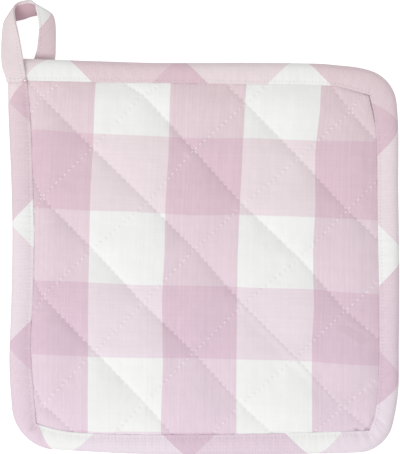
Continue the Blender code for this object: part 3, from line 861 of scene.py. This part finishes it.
def quilted_net(sizes):
    """The padded square as a closed net whose cells run along the quilting, its rim inside the fold."""
    bm = bmesh.new()
    column_of = bm.verts.layers.float.new("column")
    row_of = bm.verts.layers.float.new("row")
    face_z = bm.verts.layers.float.new("face")
    back_z = bm.verts.layers.float.new("back")
    span = LAST_COLUMN - FIRST_COLUMN
    middle = (FIRST_COLUMN + LAST_COLUMN) / 2
    cells = round(2 * span * NET_CELLS)
    bmesh.ops.create_grid(bm, x_segments=cells, y_segments=cells, size=span)
    for v in bm.verts:
        falling, rising = v.co.x, v.co.y
        v.co = (middle + (falling + rising) / 2, middle + (falling - rising) / 2, 0)
    for place, outward in (
        ((FIRST_COLUMN, 0, 0), (-1, 0, 0)), ((LAST_COLUMN, 0, 0), (1, 0, 0)),
        ((0, FIRST_ROW, 0), (0, -1, 0)), ((0, LAST_ROW, 0), (0, 1, 0)),
    ):
        everything = [*bm.verts, *bm.edges, *bm.faces]
        bmesh.ops.bisect_plane(
            bm, geom=everything, dist=0.0001, plane_co=place, plane_no=outward, clear_outer=True)
    for v in bm.verts:
        column, row = v.co.x, v.co.y
        x, y = square_point(column, row)
        swell, rise = fullness(column, row, x, y)
        v[column_of], v[row_of] = column, row
        quilt, puff = sizes.quilt_high / MM, sizes.puff_high / MM
        v[face_z] = SEAM_HIGH + (quilt - SEAM_HIGH + (puff - quilt) * swell) * rise
        v[back_z] = CHANNEL_LOW * (1 - min(swell * rise / BELLY, 1.0)) ** BACK_POWER
        v.co = (x, y, 0)
    edges_of = {}
    for v in bm.verts:
        if v.is_boundary:
            column, row = v[column_of], v[row_of]
            side = (
                "top" if abs(row - FIRST_ROW) < 0.001 else "bottom" if abs(row - LAST_ROW) < 0.001
                else "left" if abs(column - FIRST_COLUMN) < 0.001 else "right"
            )
            seam = (v.co.x, v.co.y)
            edges_of[v] = Vector(seam), Vector(outer_point(side, seam))
    for share, squeeze in ((PAD_MIDDLE, 0.0), (PAD_EDGE, EDGE_SQUEEZE)):
        rim = [e for e in bm.edges if e.is_boundary]
        new = bmesh.ops.extrude_edge_only(bm, edges=rim)["geom"]
        moved = {}
        for v in (g for g in new if isinstance(g, bmesh.types.BMVert)):
            root = next(e.other_vert(v) for e in v.link_edges if e.other_vert(v) in edges_of)
            seam, edge = edges_of[root]
            place = seam.lerp(edge, share)
            v.co = (place.x, place.y, 0)
            v[column_of], v[row_of] = -9.0, -9.0
            v[face_z] = CHANNEL_TOP - squeeze
            v[back_z] = CHANNEL_LOW + squeeze
            moved[v] = (seam, edge)
        edges_of = moved
    back = list(bm.verts)
    new = bmesh.ops.extrude_face_region(bm, geom=list(bm.faces), use_keep_orig=True)["geom"]
    for v in (g for g in new if isinstance(g, bmesh.types.BMVert)):
        v.co = placed(v.co.x, v.co.y, v[face_z])
    for v in back:
        v.co = placed(v.co.x, v.co.y, v[back_z])
    return bm


def on_quilting(column, row):
    """True on a line of quilting, at the seams and inside the binding."""
    if column < FIRST_COLUMN - 1:
        return True
    at_seam = min(
        abs(column - FIRST_COLUMN), abs(column - LAST_COLUMN), abs(row - FIRST_ROW), abs(row - LAST_ROW))
    falling, rising = column + row, column - row
    line = min(abs(falling - round(falling)), abs(rising - round(rising)))
    return min(at_seam, line) < 0.01


def blown_up(mesh, sewn, sizes):
    """Where the cover's points go when the wadding fills it and its sewn points are held."""
    cover = linked("cover", mesh.copy())
    cover.data.transform(Matrix.Scale(ROOM_SCALE, 4))
    cover.vertex_groups.new(name="sewn").add(sewn, 1.0, "REPLACE")
    modifier = cover.modifiers.new("wadding", "CLOTH")
    modifier.point_cache.frame_start = 1
    modifier.point_cache.frame_end = LAST_FRAME
    cloth = modifier.settings
    for name, value in COTTON.items():
        setattr(cloth, name, value)
    cloth.vertex_group_mass = "sewn"
    cloth.shrink_min = -sizes.slack
    cloth.use_pressure = True
    cloth.uniform_pressure_force = sizes.pressure
    cloth.effector_weights.gravity = 0
    scene = bpy.context.scene
    for number in range(1, LAST_FRAME + 1):
        scene.frame_set(number)
    filled = cover.evaluated_get(bpy.context.evaluated_depsgraph_get()).to_mesh()
    places = points_of(filled)
    scene.frame_set(1)
    worn = cover.data
    bpy.data.objects.remove(cover)
    bpy.data.meshes.remove(worn)
    return places / ROOM_SCALE


def swollen(mesh, sizes):
    """Moves the points of the pad to where the filled cover goes, within the most swelling."""
    sewn = [k for k, place in enumerate(zip(*net_places(mesh))) if on_quilting(*place)]
    creases = mesh.attributes.new("crease_edge", "FLOAT", "EDGE")
    held = set(sewn)
    folded = [QUILTING_CREASE * (a in held and b in held) for a, b in (e.vertices for e in mesh.edges)]
    creases.data.foreach_set("value", folded)
    start = points_of(mesh)
    move = blown_up(mesh, sewn, sizes) - start
    far = np.linalg.norm(move, axis=1, keepdims=True)
    eased = sizes.most_move * np.tanh(far / sizes.most_move)
    end = start + move / np.maximum(far, 1e-9) * eased
    end[:, 2] = np.maximum(end[:, 2], 0.0)
    mesh.vertices.foreach_set("co", end.ravel())
    mesh.update()


def subdivided(mesh, name):
    """The mesh with each of its cells cut in four and rounded."""
    piece = linked(name, mesh)
    finer = piece.modifiers.new("finer", "SUBSURF")
    finer.levels = finer.render_levels = 1
    shape = bpy.data.meshes.new_from_object(piece.evaluated_get(bpy.context.evaluated_depsgraph_get()))
    bpy.data.objects.remove(piece)
    bpy.data.meshes.remove(mesh)
    return shape


def band_count(lines, pulls, first, across, along):
    """Which band of the check each point is in, from the lines where the bands meet."""
    curves = [
        a + b * along / 100 + c * (along / 100) ** 2 + np.interp(along, *zip(*pull))
        for (a, b, c), pull in zip(lines, pulls)
    ]
    width = abs(lines[-1][0] - lines[0][0]) / (len(lines) - 1)
    step = width if lines[-1][0] > lines[0][0] else -width
    curves = [curves[0] - step, *curves, curves[-1] + step]
    count = np.full(len(across), first - 1.0)
    for start, end in zip(curves, curves[1:]):
        count += np.clip((across - start) / (end - start), 0.0, 1.0)
    return count


# ---- Stitching ----


def quilting_lines():
    """The needle holes of each line of quilting, from seam to seam, in millimetres."""
    lines = []
    reach = range(-3 * LINE_STITCHES, 10 * LINE_STITCHES)
    for crossways in range(-4, 8):
        for turned in (False, True):
            line = []
            for k in reach:
                along = k / LINE_STITCHES
                falling, rising = (along, crossways) if turned else (crossways, along)
                column, row = (falling + rising) / 2, (falling - rising) / 2
                if FIRST_COLUMN < column < LAST_COLUMN and FIRST_ROW < row < LAST_ROW:
                    line.append(Vector(square_point(column, row)))
            if len(line) > 3:
                lines.append(line)
    return lines


def puckered(mesh, columns, rows, sizes):
    """Where the pad's points go as the needle dimples its cover and the sewing puckers it."""
    holes = [hole for line in quilting_lines() for hole in line]
    near_hole = KDTree(len(holes))
    for k, hole in enumerate(holes):
        near_hole.insert((*hole, 0), k)
    near_hole.balance()
    dimple, ripple, stitch = sizes.dimple / MM, sizes.ripple / MM, NET_PITCH / LINE_STITCHES
    places, facings = points_of(mesh), np.zeros(3 * len(mesh.vertices), np.float32)
    mesh.vertex_normals.foreach_get("vector", facings)
    facings = facings.reshape(-1, 3)[:, 2]
    for k in np.flatnonzero(columns >= FIRST_COLUMN - 0.001):
        x, y = places[k, 0] / MM, places[k, 1] / MM
        away = near_hole.find((x, y, 0))[2]
        falling, rising = columns[k] + rows[k], columns[k] - rows[k]
        offs = [abs(c - round(c)) * NET_PITCH for c in (falling, rising)]
        height = -dimple * math.exp(-((away / DIMPLE_WIDE) ** 2)) * ramp(max(offs), 0.3, 2.0)
        for off, crossways, along in zip(offs, (falling, rising), (rising, falling)):
            if off < RIPPLE_REACH:
                wave = ripple_at(along * NET_PITCH + NEXT_LINE * round(crossways), stitch)
                height += ripple * wave * math.exp(-off / RIPPLE_FADE) * ramp(off, 0, 1.0)
        height += LUMPY * rough(x / LUMPY_LONG, y / LUMPY_LONG, 4.0) * ramp(abs(facings[k]), 0.5, 0.9)
        if facings[k] > 0:
            height += folds_at(FOLDS + PAD_FOLDS, x, y)
        side = 1.0 if facings[k] > 0 else -1.0
        places[k, 2] = max(places[k, 2] + side * height * MM, 0.0)
    return places


def needle_holes(path, stitch, start=0.5):
    """Points along a path, one stitch apart."""
    holes, wanted, run = [], stitch * start, 0.0
    for a, b in zip(path, path[1:]):
        step = (b - a).length
        while wanted <= run + step:
            holes.append(a.lerp(b, (wanted - run) / step))
            wanted += stitch
        run += step
    return holes


def sewn(name, stitches, sizes, material):
    """One rounded stitch, copied and laid unevenly for each (start, end, up, proud, stout)."""
    bm = bmesh.new()
    number = bm.verts.layers.int.new("number")
    bmesh.ops.create_uvsphere(bm, u_segments=STITCH_SIDES, v_segments=STITCH_RINGS, radius=1.0)
    copies = 1
    while copies < len(stitches):
        new = bmesh.ops.duplicate(bm, geom=[*bm.verts, *bm.edges, *bm.faces])["geom"]
        for v in (g for g in new if isinstance(g, bmesh.types.BMVert)):
            v[number] += copies
        copies *= 2
    surplus = [v for v in bm.verts if v[number] >= len(stitches)]
    bmesh.ops.delete(bm, geom=surplus, context="VERTS")
    frames = []
    for k, (start, end, up, proud, stout) in enumerate(stitches):
        radius = sizes.thread / 2 * stout
        longer = 1 + UNEVEN_LENGTH * rough(k * 0.71, 0.3, 6.0)
        along = (end - start) * sizes.stitch_share / 2 * longer
        side = up.cross(along).normalized() * radius
        start = start + side * UNEVEN_ASIDE * rough(k * 0.83, 1.7, 6.0)
        end = end + side * UNEVEN_ASIDE * rough(k * 0.77, 2.9, 6.0)
        up = along.cross(side).normalized() * radius
        proud += UNEVEN_PROUD * rough(k * 0.59, 4.1, 6.0)
        frames.append(((start + end) / 2, along, side, up, proud))
    for v in bm.verts:
        middle, along, side, up, proud = frames[v[number]]
        across, high, far = v.co
        thin = max(math.hypot(across, high), 0.001)
        full = max(1 - far * far, 0.0) ** STITCH_BLUNT / thin
        raised = high * full * STITCH_FLAT + proud - STITCH_DIVE * far * far
        v.co = middle + along * far + side * across * full + up * raised
        v.co.z = max(v.co.z, 0.0)
    bm.verts.layers.int.remove(number)
    return carried(name, as_mesh(bm, name), material)


def landed(trees, x, y, from_above):
    """Where a needle straight down, or straight up, first meets one of the pieces."""
    way = -1.0 if from_above else 1.0
    start = Vector((x * MM, y * MM, -way * NEEDLE_FROM))
    hits = [tree.ray_cast(start, Vector((0, 0, way)))[0] for tree in trees]
    hits = [hit for hit in hits if hit]
    if not hits:
        raise RuntimeError(f"no cloth to sew at {x:.1f}, {y:.1f}")
    return min(hits, key=lambda hit: (hit - start).length)


def sewn_flat(trees, holes, proud, stout, from_above=True):
    """Stitches between holes on a piece that lies flat."""
    up, stitches = Vector((0, 0, 1 if from_above else -1)), []
    for a, b in zip(holes, holes[1:]):
        start, end = landed(trees, a.x, a.y, from_above), landed(trees, b.x, b.y, from_above)
        middle = landed(trees, (a.x + b.x) / 2, (a.y + b.y) / 2, from_above)
        raised = (middle - (start + end) / 2) * THREAD_FOLLOWS
        if raised.dot(up) > -HIDDEN_STITCH * MM:
            stitches.append((start + raised, end + raised, up, proud, stout))
    return stitches


def tree_of(piece):
    """The faces of a piece, to find where a needle meets them."""
    return BVHTree.FromObject(piece, bpy.context.evaluated_depsgraph_get())


def loop_sections():
    """The loop's cross-sections, the way up at each, and how far along the strip it lies."""
    last = len(LOOP_STATIONS) - 1
    columns = [list(enumerate(column)) for column in zip(*LOOP_STATIONS)]
    places = [k / LOOP_STEPS for k in range(last * LOOP_STEPS + 1)]
    edges = [[value_along(column, place) for column in columns] for place in places]
    nears = [Vector(values[:3]) for values in edges]
    fars = [Vector(values[3:]) for values in edges]
    middles = [(near + far) / 2 for near, far in zip(nears, fars)]
    sections, ups, runs, run = [], [], [], 0.0
    for k, place in enumerate(places):
        ahead = middles[min(k + 1, len(places) - 1)] - middles[max(k - 1, 0)]
        run += (middles[k] - middles[k - 1]).length if k else 0.0
        across = nears[k] - fars[k]
        thickness = LOOP_STRIP + (TAIL_STRIP - LOOP_STRIP) * ramp(place, TAIL_FROM, TAIL_TO)
        up = ahead.cross(across).normalized()
        settle = LOOP_SETTLE[0] * (1 - ramp(place, 0, LOOP_SETTLE[1])) * Vector((0, 0, -1))
        thickness *= LOOP_END_THIN + (1 - LOOP_END_THIN) * ramp(place, 0, LOOP_END_LONG)
        ripple = sum(high * rough(run / long, seed) for high, long, seed in LOOP_RIPPLES)
        section = []
        for share, out, stitched in LOOP_SECTION:
            bulge = out * thickness
            if stitched:
                groove = math.copysign(LOOP_GROOVE, out)
                bulge += groove * math.cos(2 * math.pi * run / LOOP_GROOVE_LONG)
            near_edge = ramp(share, 0.5, 0.9)
            wave = ripple * near_edge + UNEVEN * rough(run / 7, share * 1.6, 2.5)
            section.append((fars[k] + across * share + up * (bulge + wave) + settle) * MM)
        sections.append(section)
        ups.append(up)
        runs.append(run)
    return sections, ups, runs


# ---- The pieces ----


class OBJECT_OT_pot_holder_stage(bpy.types.Operator):
    """Add the floor, the soft light and the camera straight above"""

    bl_idname = "object.pot_holder_stage"
    bl_label = "Stage"

    def execute(self, context):
        stage = context.scene.pot_holder_stage
        bm = bmesh.new()
        bmesh.ops.create_grid(bm, x_segments=2, y_segments=2, size=stage.floor_size / 2)
        for v in bm.verts:
            v.co.z = -FLOOR_DROP
        paint = painted_floor("floor_paint", stage.floor, stage.glow)
        floor = show("floor", as_mesh(bm, "floor"), paint)
        floor.visible_diffuse = False
        scene = context.scene
        world = bpy.data.worlds.new("studio")
        world.use_nodes = True
        sky, links = world.node_tree.nodes, world.node_tree.links
        direction, split = sky.new("ShaderNodeTexCoord"), sky.new("ShaderNodeSeparateXYZ")
        level = sky.new("ShaderNodeMapRange")
        levels = {
            "From Min": -HORIZON, "From Max": HORIZON, "To Min": stage.bounce, "To Max": stage.fill,
        }
        for name, value in levels.items():
            level.inputs[name].default_value = value
        links.new(direction.outputs["Generated"], split.inputs[0])
        links.new(split.outputs["Z"], level.inputs["Value"])
        links.new(level.outputs[0], sky["Background"].inputs["Strength"])
        sky["Background"].inputs["Color"].default_value = (1.0, 1.0, 1.0, 1.0)
        scene.world = world
        lamp = bpy.data.lights.new("main_light", "AREA")
        lamp.shape = "DISK"
        lamp.size = stage.key_size
        lamp.energy = stage.key
        key = linked("main_light", lamp)
        key.location = KEY_PLACE
        key.rotation_euler = (-key.location).to_track_quat("-Z", "Y").to_euler()
        lens = bpy.data.cameras.new("camera")
        lens.sensor_width = SENSOR
        above = stage.camera_high - PHOTO_LEVEL * MM
        lens.lens = lens.sensor_width * above / (PHOTO_TALL * MM_PER_PIXEL * MM)
        lens.clip_start, lens.clip_end = CLIP
        camera = linked("camera", lens)
        camera.location = (0.0, 0.0, stage.camera_high)
        scene.camera = camera
        scene.view_settings.view_transform = "Standard"
        return {"FINISHED"}


class OBJECT_OT_pot_holder_pad(bpy.types.Operator):
    """Add the quilted square, its cover blown up over the wadding"""

    bl_idname = "object.pot_holder_pad"
    bl_label = "Quilted square"

    def execute(self, context):
        sizes, finish = context.scene.pot_holder_sizes, context.scene.pot_holder_finish
        mesh = as_mesh(quilted_net(sizes), "quilted_square")
        swollen(mesh, sizes)
        mesh = subdivided(mesh, "quilted_square")
        columns, rows = net_places(mesh)
        places = puckered(mesh, columns, rows, sizes)
        mesh.vertices.foreach_set("co", places.ravel())
        mesh.update()
        for name in ("column", "row", "face", "back", "crease_edge"):
            if name in mesh.attributes:
                mesh.attributes.remove(mesh.attributes[name])
        x, y = places[:, 0] / MM, places[:, 1] / MM
        warp = band_count(COLUMN_LINES, COLUMN_PULLS, FIRST_COLUMN_BAND, x, y)
        weft = band_count(ROW_LINES, ROW_PULLS, FIRST_ROW_BAND, y, x)
        corners = np.zeros(len(mesh.loops), np.int32)
        mesh.loops.foreach_get("vertex_index", corners)
        for name, first, second in (("bands", warp, weft), ("sewing", columns + rows, columns - rows)):
            layer = mesh.uv_layers.new(name=name)
            layer.data.foreach_set("uv", np.column_stack((first[corners], second[corners])).ravel())
        pad = carried("quilted_square", mesh, gingham("gingham_square", finish, quilted=True))
        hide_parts("quilted_pad")
        return {"FINISHED"}


class OBJECT_OT_pot_holder_binding(bpy.types.Operator):
    """Add the bias strip folded over the edge"""

    bl_idname = "object.pot_holder_binding"
    bl_label = "Edge binding"

    def execute(self, context):
        sizes, finish = context.scene.pot_holder_sizes, context.scene.pot_holder_finish
        stations = seam_stations()
        warp, weft = slanting_bands(stations)
        ripple, stitch = sizes.ripple / MM, sizes.stitch / MM
        total = stations[-1][1]
        whole_waves = round(total / stitch / 2) * 2 * stitch / total
        sections, outs = [], []
        for _, run, (sx, sy), (ex, ey) in stations:
            width = math.dist((sx, sy), (ex, ey))
            ahead = 2 * math.pi * run / total
            slow = noise.noise(Vector((math.cos(ahead), math.sin(ahead), 0)) * ROLLING_LONG)
            rippling = ripple * (1 + CORNER_RIPPLE * ramp(width, *CORNER_WIDTHS))
            wave = ripple_at(run * whole_waves, stitch)
            section, out_run = [], [0.0]
            for share, out, z, rippled in BINDING_FACE:
                place = share + out / width
                x, y = sx + (ex - sx) * place, sy + (ey - sy) * place
                high = z + rippled * (rippling * wave + ROLLING * slow)
                if rippled:
                    high += folds_at(FOLDS, x, y) + UNEVEN * rough(x / UNEVEN_LONG, y / UNEVEN_LONG, 9.0)
                    lean = TOP_LEAN if ey > sy else BOTTOM_LEAN
                    high -= lean * abs(ey - sy) / width * max(place, 0.0) ** LEAN_POWER
                    if share < 1:
                        high = max(high, UNDERSIDE + LEAST_STRIP)
                if out == EDGE_STITCH_OUT and z > STRIP:
                    high -= STITCH_GROOVE * math.cos(2 * math.pi * run / stitch)
                section.append(placed(x, y, high))
                if len(section) > 1:
                    out_run.append(out_run[-1] + (section[-1] - section[-2]).length / MM)
            sections.append(section)
            outs.append([o - out_run[INNER_EDGE] for o in out_run])

        def maps(i, j, _strip):
            j = min(j, len(outs[i]) - 1)
            run, out = stations[i][1], outs[i][j]
            bands = float(np.interp(run + out, *warp)), float(np.interp(run - out, *weft))
            share, from_seam, _, _ = BINDING_FACE[j]
            off = from_seam - EDGE_STITCH_OUT if share == 0 else 9.0
            return bands, (run / stitch, off)

        mesh = as_mesh(rolled(sections, True, maps), "bias_binding")
        binding = carried("bias_binding", mesh, gingham("gingham_bias", finish, tone=0.99))
        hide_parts("edge_binding")
        return {"FINISHED"}


class OBJECT_OT_pot_holder_loop(bpy.types.Operator):
    """Add the hanging loop, the sewn strip that runs on from the binding"""

    bl_idname = "object.pot_holder_loop"
    bl_label = "Hanging loop"

    def execute(self, context):
        sizes, finish = context.scene.pot_holder_sizes, context.scene.pot_holder_finish
        stations = seam_stations()
        warp, weft = slanting_bands(stations)
        sections, _, runs = loop_sections()
        begin = stations[-1][1] - LOOP_BEGIN

        def maps(i, j, strip):
            share, out, _ = LOOP_SECTION[j % len(LOOP_SECTION)]
            away = (1 - share) * LOOP_WIDE
            turned = -LOOP_SHIFT - LOOP_SLANT * share * ramp(runs[i], *LOOP_BEND)
            # painted shade on the loop: a little past the bend, most on its inner side in the hollow, and
            # part of that on the rim
            painted_shade = LOOP_SHADE * ramp(runs[i], *LOOP_BEND)
            if strip >= LOOP_STITCH_BACK:
                away, turned = 2 * LOOP_WIDE - away, LOOP_TURN
                painted_shade = ramp(runs[i], *LOOP_HOLLOW[:2]) * (1 - ramp(runs[i], *LOOP_HOLLOW[2:]))
            elif out > 0:
                away = -away
                painted_shade = LOOP_RIM * ramp(runs[i], *LOOP_HOLLOW[:2])
                painted_shade *= 1 - ramp(runs[i] + LOOP_RIM_SHORT, *LOOP_HOLLOW[2:])
            run = begin + runs[i]
            bands = float(np.interp(run + away + turned, *warp)), float(np.interp(run - away, *weft))
            off = (share - LOOP_SECTION[LOOP_STITCH_FACE][0]) * LOOP_WIDE
            return bands, ((runs[i] - LOOP_END_ROOM) / (sizes.stitch / MM), off), (painted_shade, 0.0)

        mesh = as_mesh(rolled(sections, False, maps), "hanging_tab")
        loop = carried("hanging_tab", mesh, gingham("gingham_loop", finish, hollow=True, tone=0.96))
        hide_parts("hanging_loop")
        return {"FINISHED"}


class OBJECT_OT_pot_holder_stitches(bpy.types.Operator):
    """Add the sewing thread of the quilting, the binding and the loop"""

    bl_idname = "object.pot_holder_stitches"
    bl_label = "Stitches"

    def execute(self, context):
        sizes, finish = context.scene.pot_holder_sizes, context.scene.pot_holder_finish
        stitch = sizes.stitch / MM
        cotton = twisted_thread("white_thread", finish)
        pad, binding = (tree_of(bpy.data.objects[name]) for name in ("quilted_square", "bias_binding"))
        quilting, edge, strip = [], [], []
        for holes in quilting_lines():
            for from_above in (True, False):
                quilting += sewn_flat([pad], holes, *QUILTING_THREAD, from_above)
        line = []
        for _, _, seam, outer in seam_stations():
            seam, outer = Vector(seam), Vector(outer)
            line.append(seam + (outer - seam).normalized() * EDGE_STITCH_OUT)
        holes = needle_holes(line, stitch, start=0.0)
        for from_above in (True, False):
            edge += sewn_flat([binding], holes, *EDGE_THREAD, from_above)
        sections, ups, runs = loop_sections()
        for side, sign in ((LOOP_STITCH_FACE, -1), (LOOP_STITCH_BACK, 1)):
            line = [section[side] for section in sections]
            wanted = np.arange(LOOP_END_ROOM, runs[-1] - LOOP_END_ROOM, stitch)
            paths = list(zip(*line))
            holes = [Vector([np.interp(w, runs, path) for path in paths]) for w in wanted]
            for a, b, w in zip(holes, holes[1:], wanted):
                near = int(np.searchsorted(runs, w + stitch / 2))
                strip.append((a, b, ups[near] * sign, *EDGE_THREAD))
        loop = tree_of(bpy.data.objects["hanging_tab"])
        row = [Vector(p) for p in LOOP_ROW]
        strip += sewn_flat([loop, binding], needle_holes(row, stitch, start=0.1), *ROW_THREAD)
        for name, stitches in (("quilting", quilting), ("binding", edge), ("loop", strip)):
            sewn(name + "_thread", stitches, sizes, cotton)
        return {"FINISHED"}


PIECE_OPERATORS = (
    OBJECT_OT_pot_holder_stage,
    OBJECT_OT_pot_holder_pad,
    OBJECT_OT_pot_holder_binding,
    OBJECT_OT_pot_holder_loop,
    OBJECT_OT_pot_holder_stitches,
)


class VIEW3D_PT_pot_holder(bpy.types.Panel):
    """Sizes, finishes and buttons of the pot holder"""

    bl_idname = "VIEW3D_PT_pot_holder"
    bl_label = "Pot holder"
    bl_space_type = "VIEW_3D"
    bl_region_type = "UI"
    bl_category = "Pot holder"

    def draw(self, context):
        for group in ("pot_holder_sizes", "pot_holder_finish", "pot_holder_stage"):
            values = getattr(context.scene, group)
            box = self.layout.box()
            for name in values.__annotations__:
                box.prop(values, name)
        for operator in PIECE_OPERATORS:
            self.layout.operator(operator.bl_idname)


GROUPS = {
    "pot_holder_sizes": PotHolderSizes,
    "pot_holder_finish": PotHolderFinish,
    "pot_holder_stage": PotHolderStage,
}


def register():
    for name, group in GROUPS.items():
        bpy.utils.register_class(group)
        setattr(bpy.types.Scene, name, PointerProperty(type=group))
    for made in (*PIECE_OPERATORS, VIEW3D_PT_pot_holder):
        bpy.utils.register_class(made)


def unregister():
    for made in (VIEW3D_PT_pot_holder, *reversed(PIECE_OPERATORS)):
        bpy.utils.unregister_class(made)
    for name, group in GROUPS.items():
        delattr(bpy.types.Scene, name)
        bpy.utils.unregister_class(group)


def main():
    register()
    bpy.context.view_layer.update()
    bpy.ops.object.pot_holder_stage()
    bpy.ops.object.pot_holder_pad()
    bpy.ops.object.pot_holder_binding()
    bpy.ops.object.pot_holder_loop()
    bpy.ops.object.pot_holder_stitches()


if __name__ == "__main__":
    main()
